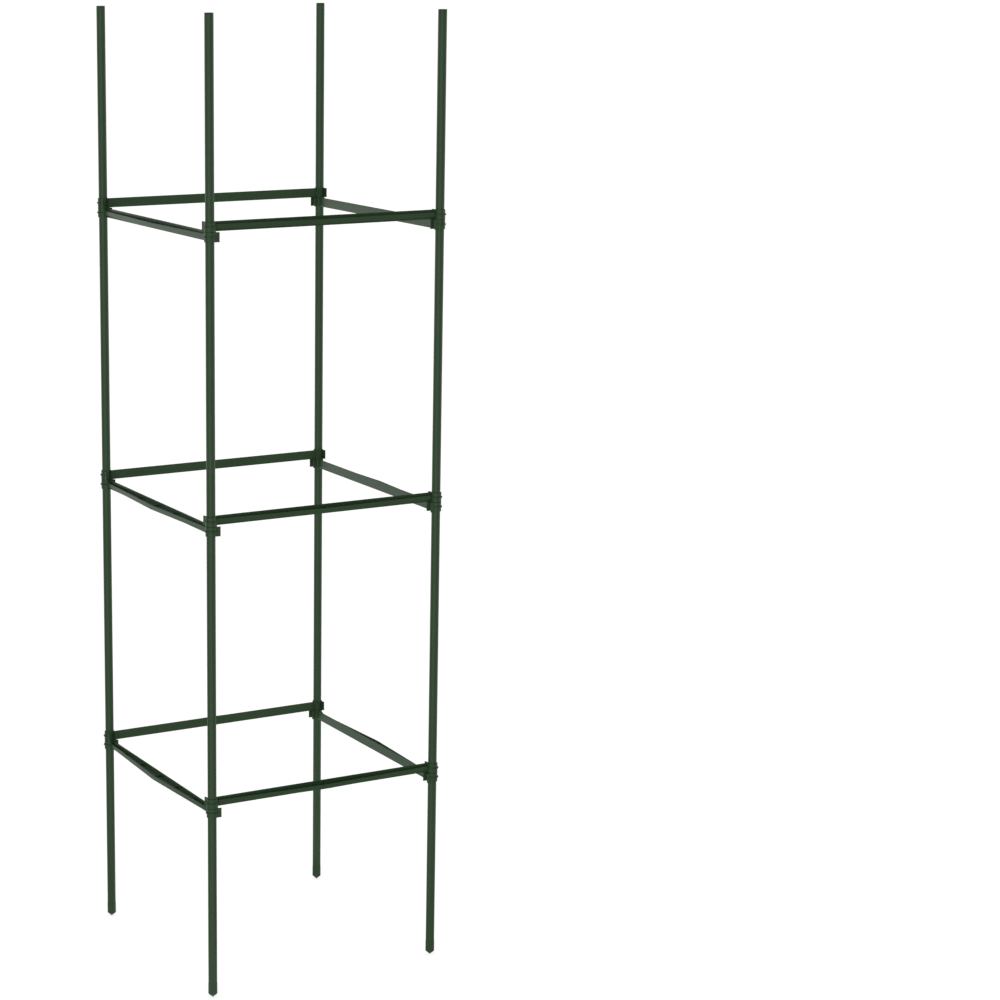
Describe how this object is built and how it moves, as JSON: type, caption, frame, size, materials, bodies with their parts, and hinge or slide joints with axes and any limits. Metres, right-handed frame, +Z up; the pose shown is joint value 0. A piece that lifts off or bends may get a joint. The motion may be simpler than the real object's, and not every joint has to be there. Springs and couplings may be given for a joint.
{
  "type": "tomato cage",
  "caption": "Square tomato cage: round coated stakes with pointed ends, held apart by clip-on crossbars in tiers that slide along the stakes to suit the plant.",
  "frame": {"origin": "middle of the square, in the plane of the stake points", "axes": "+Z up along the stakes, +X to the right along the front bars, +Y from front to back"},
  "size_m": [0.3324, 0.3324, 1.22],
  "materials": {
    "tube_steel": "drawn steel tube, hidden inside the coat",
    "green_coat": "satin dark green plastic coat, smooth",
    "green_moulding": "satin dark green moulded plastic"
  },
  "bodies": {
    "stakes": {"stake_tube_front_left": "tube_steel", "stake_coat_front_left": "green_coat", "stake_point_front_left": "green_moulding", "stake_cap_front_left": "green_moulding", "stake_tube_front_right": "tube_steel", "stake_coat_front_right": "green_coat", "stake_point_front_right": "green_moulding", "stake_cap_front_right": "green_moulding", "stake_tube_back_right": "tube_steel", "stake_coat_back_right": "green_coat", "stake_point_back_right": "green_moulding", "stake_cap_back_right": "green_moulding", "stake_tube_back_left": "tube_steel", "stake_coat_back_left": "green_coat", "stake_point_back_left": "green_moulding", "stake_cap_back_left": "green_moulding"},
    "bar_front_bottom": {"crossbar_front_bottom": "green_moulding"},
    "bar_right_bottom": {"crossbar_right_bottom": "green_moulding"},
    "bar_back_bottom": {"crossbar_back_bottom": "green_moulding"},
    "bar_left_bottom": {"crossbar_left_bottom": "green_moulding"},
    "bar_front_middle": {"crossbar_front_middle": "green_moulding"},
    "bar_right_middle": {"crossbar_right_middle": "green_moulding"},
    "bar_back_middle": {"crossbar_back_middle": "green_moulding"},
    "bar_left_middle": {"crossbar_left_middle": "green_moulding"},
    "bar_front_top": {"crossbar_front_top": "green_moulding"},
    "bar_right_top": {"crossbar_right_top": "green_moulding"},
    "bar_back_top": {"crossbar_back_top": "green_moulding"},
    "bar_left_top": {"crossbar_left_top": "green_moulding"}
  },
  "joints": [
    {"name": "slide_front_bottom", "type": "slide", "parent": "stakes", "child": "bar_front_bottom", "axis": [0, 0, 1], "range_m": [0, 0.15]},
    {"name": "slide_right_bottom", "type": "slide", "parent": "stakes", "child": "bar_right_bottom", "axis": [0, 0, 1], "range_m": [-0.15, 0]},
    {"name": "slide_back_bottom", "type": "slide", "parent": "stakes", "child": "bar_back_bottom", "axis": [0, 0, 1], "range_m": [0, 0.15]},
    {"name": "slide_left_bottom", "type": "slide", "parent": "stakes", "child": "bar_left_bottom", "axis": [0, 0, 1], "range_m": [-0.15, 0]},
    {"name": "slide_front_middle", "type": "slide", "parent": "stakes", "child": "bar_front_middle", "axis": [0, 0, 1], "range_m": [0, 0.15]},
    {"name": "slide_right_middle", "type": "slide", "parent": "stakes", "child": "bar_right_middle", "axis": [0, 0, 1], "range_m": [-0.15, 0]},
    {"name": "slide_back_middle", "type": "slide", "parent": "stakes", "child": "bar_back_middle", "axis": [0, 0, 1], "range_m": [0, 0.15]},
    {"name": "slide_left_middle", "type": "slide", "parent": "stakes", "child": "bar_left_middle", "axis": [0, 0, 1], "range_m": [-0.15, 0]},
    {"name": "slide_front_top", "type": "slide", "parent": "stakes", "child": "bar_front_top", "axis": [0, 0, 1], "range_m": [0, 0.15]},
    {"name": "slide_right_top", "type": "slide", "parent": "stakes", "child": "bar_right_top", "axis": [0, 0, 1], "range_m": [-0.15, 0]},
    {"name": "slide_back_top", "type": "slide", "parent": "stakes", "child": "bar_back_top", "axis": [0, 0, 1], "range_m": [0, 0.15]},
    {"name": "slide_left_top", "type": "slide", "parent": "stakes", "child": "bar_left_top", "axis": [0, 0, 1], "range_m": [-0.15, 0]}
  ]
}
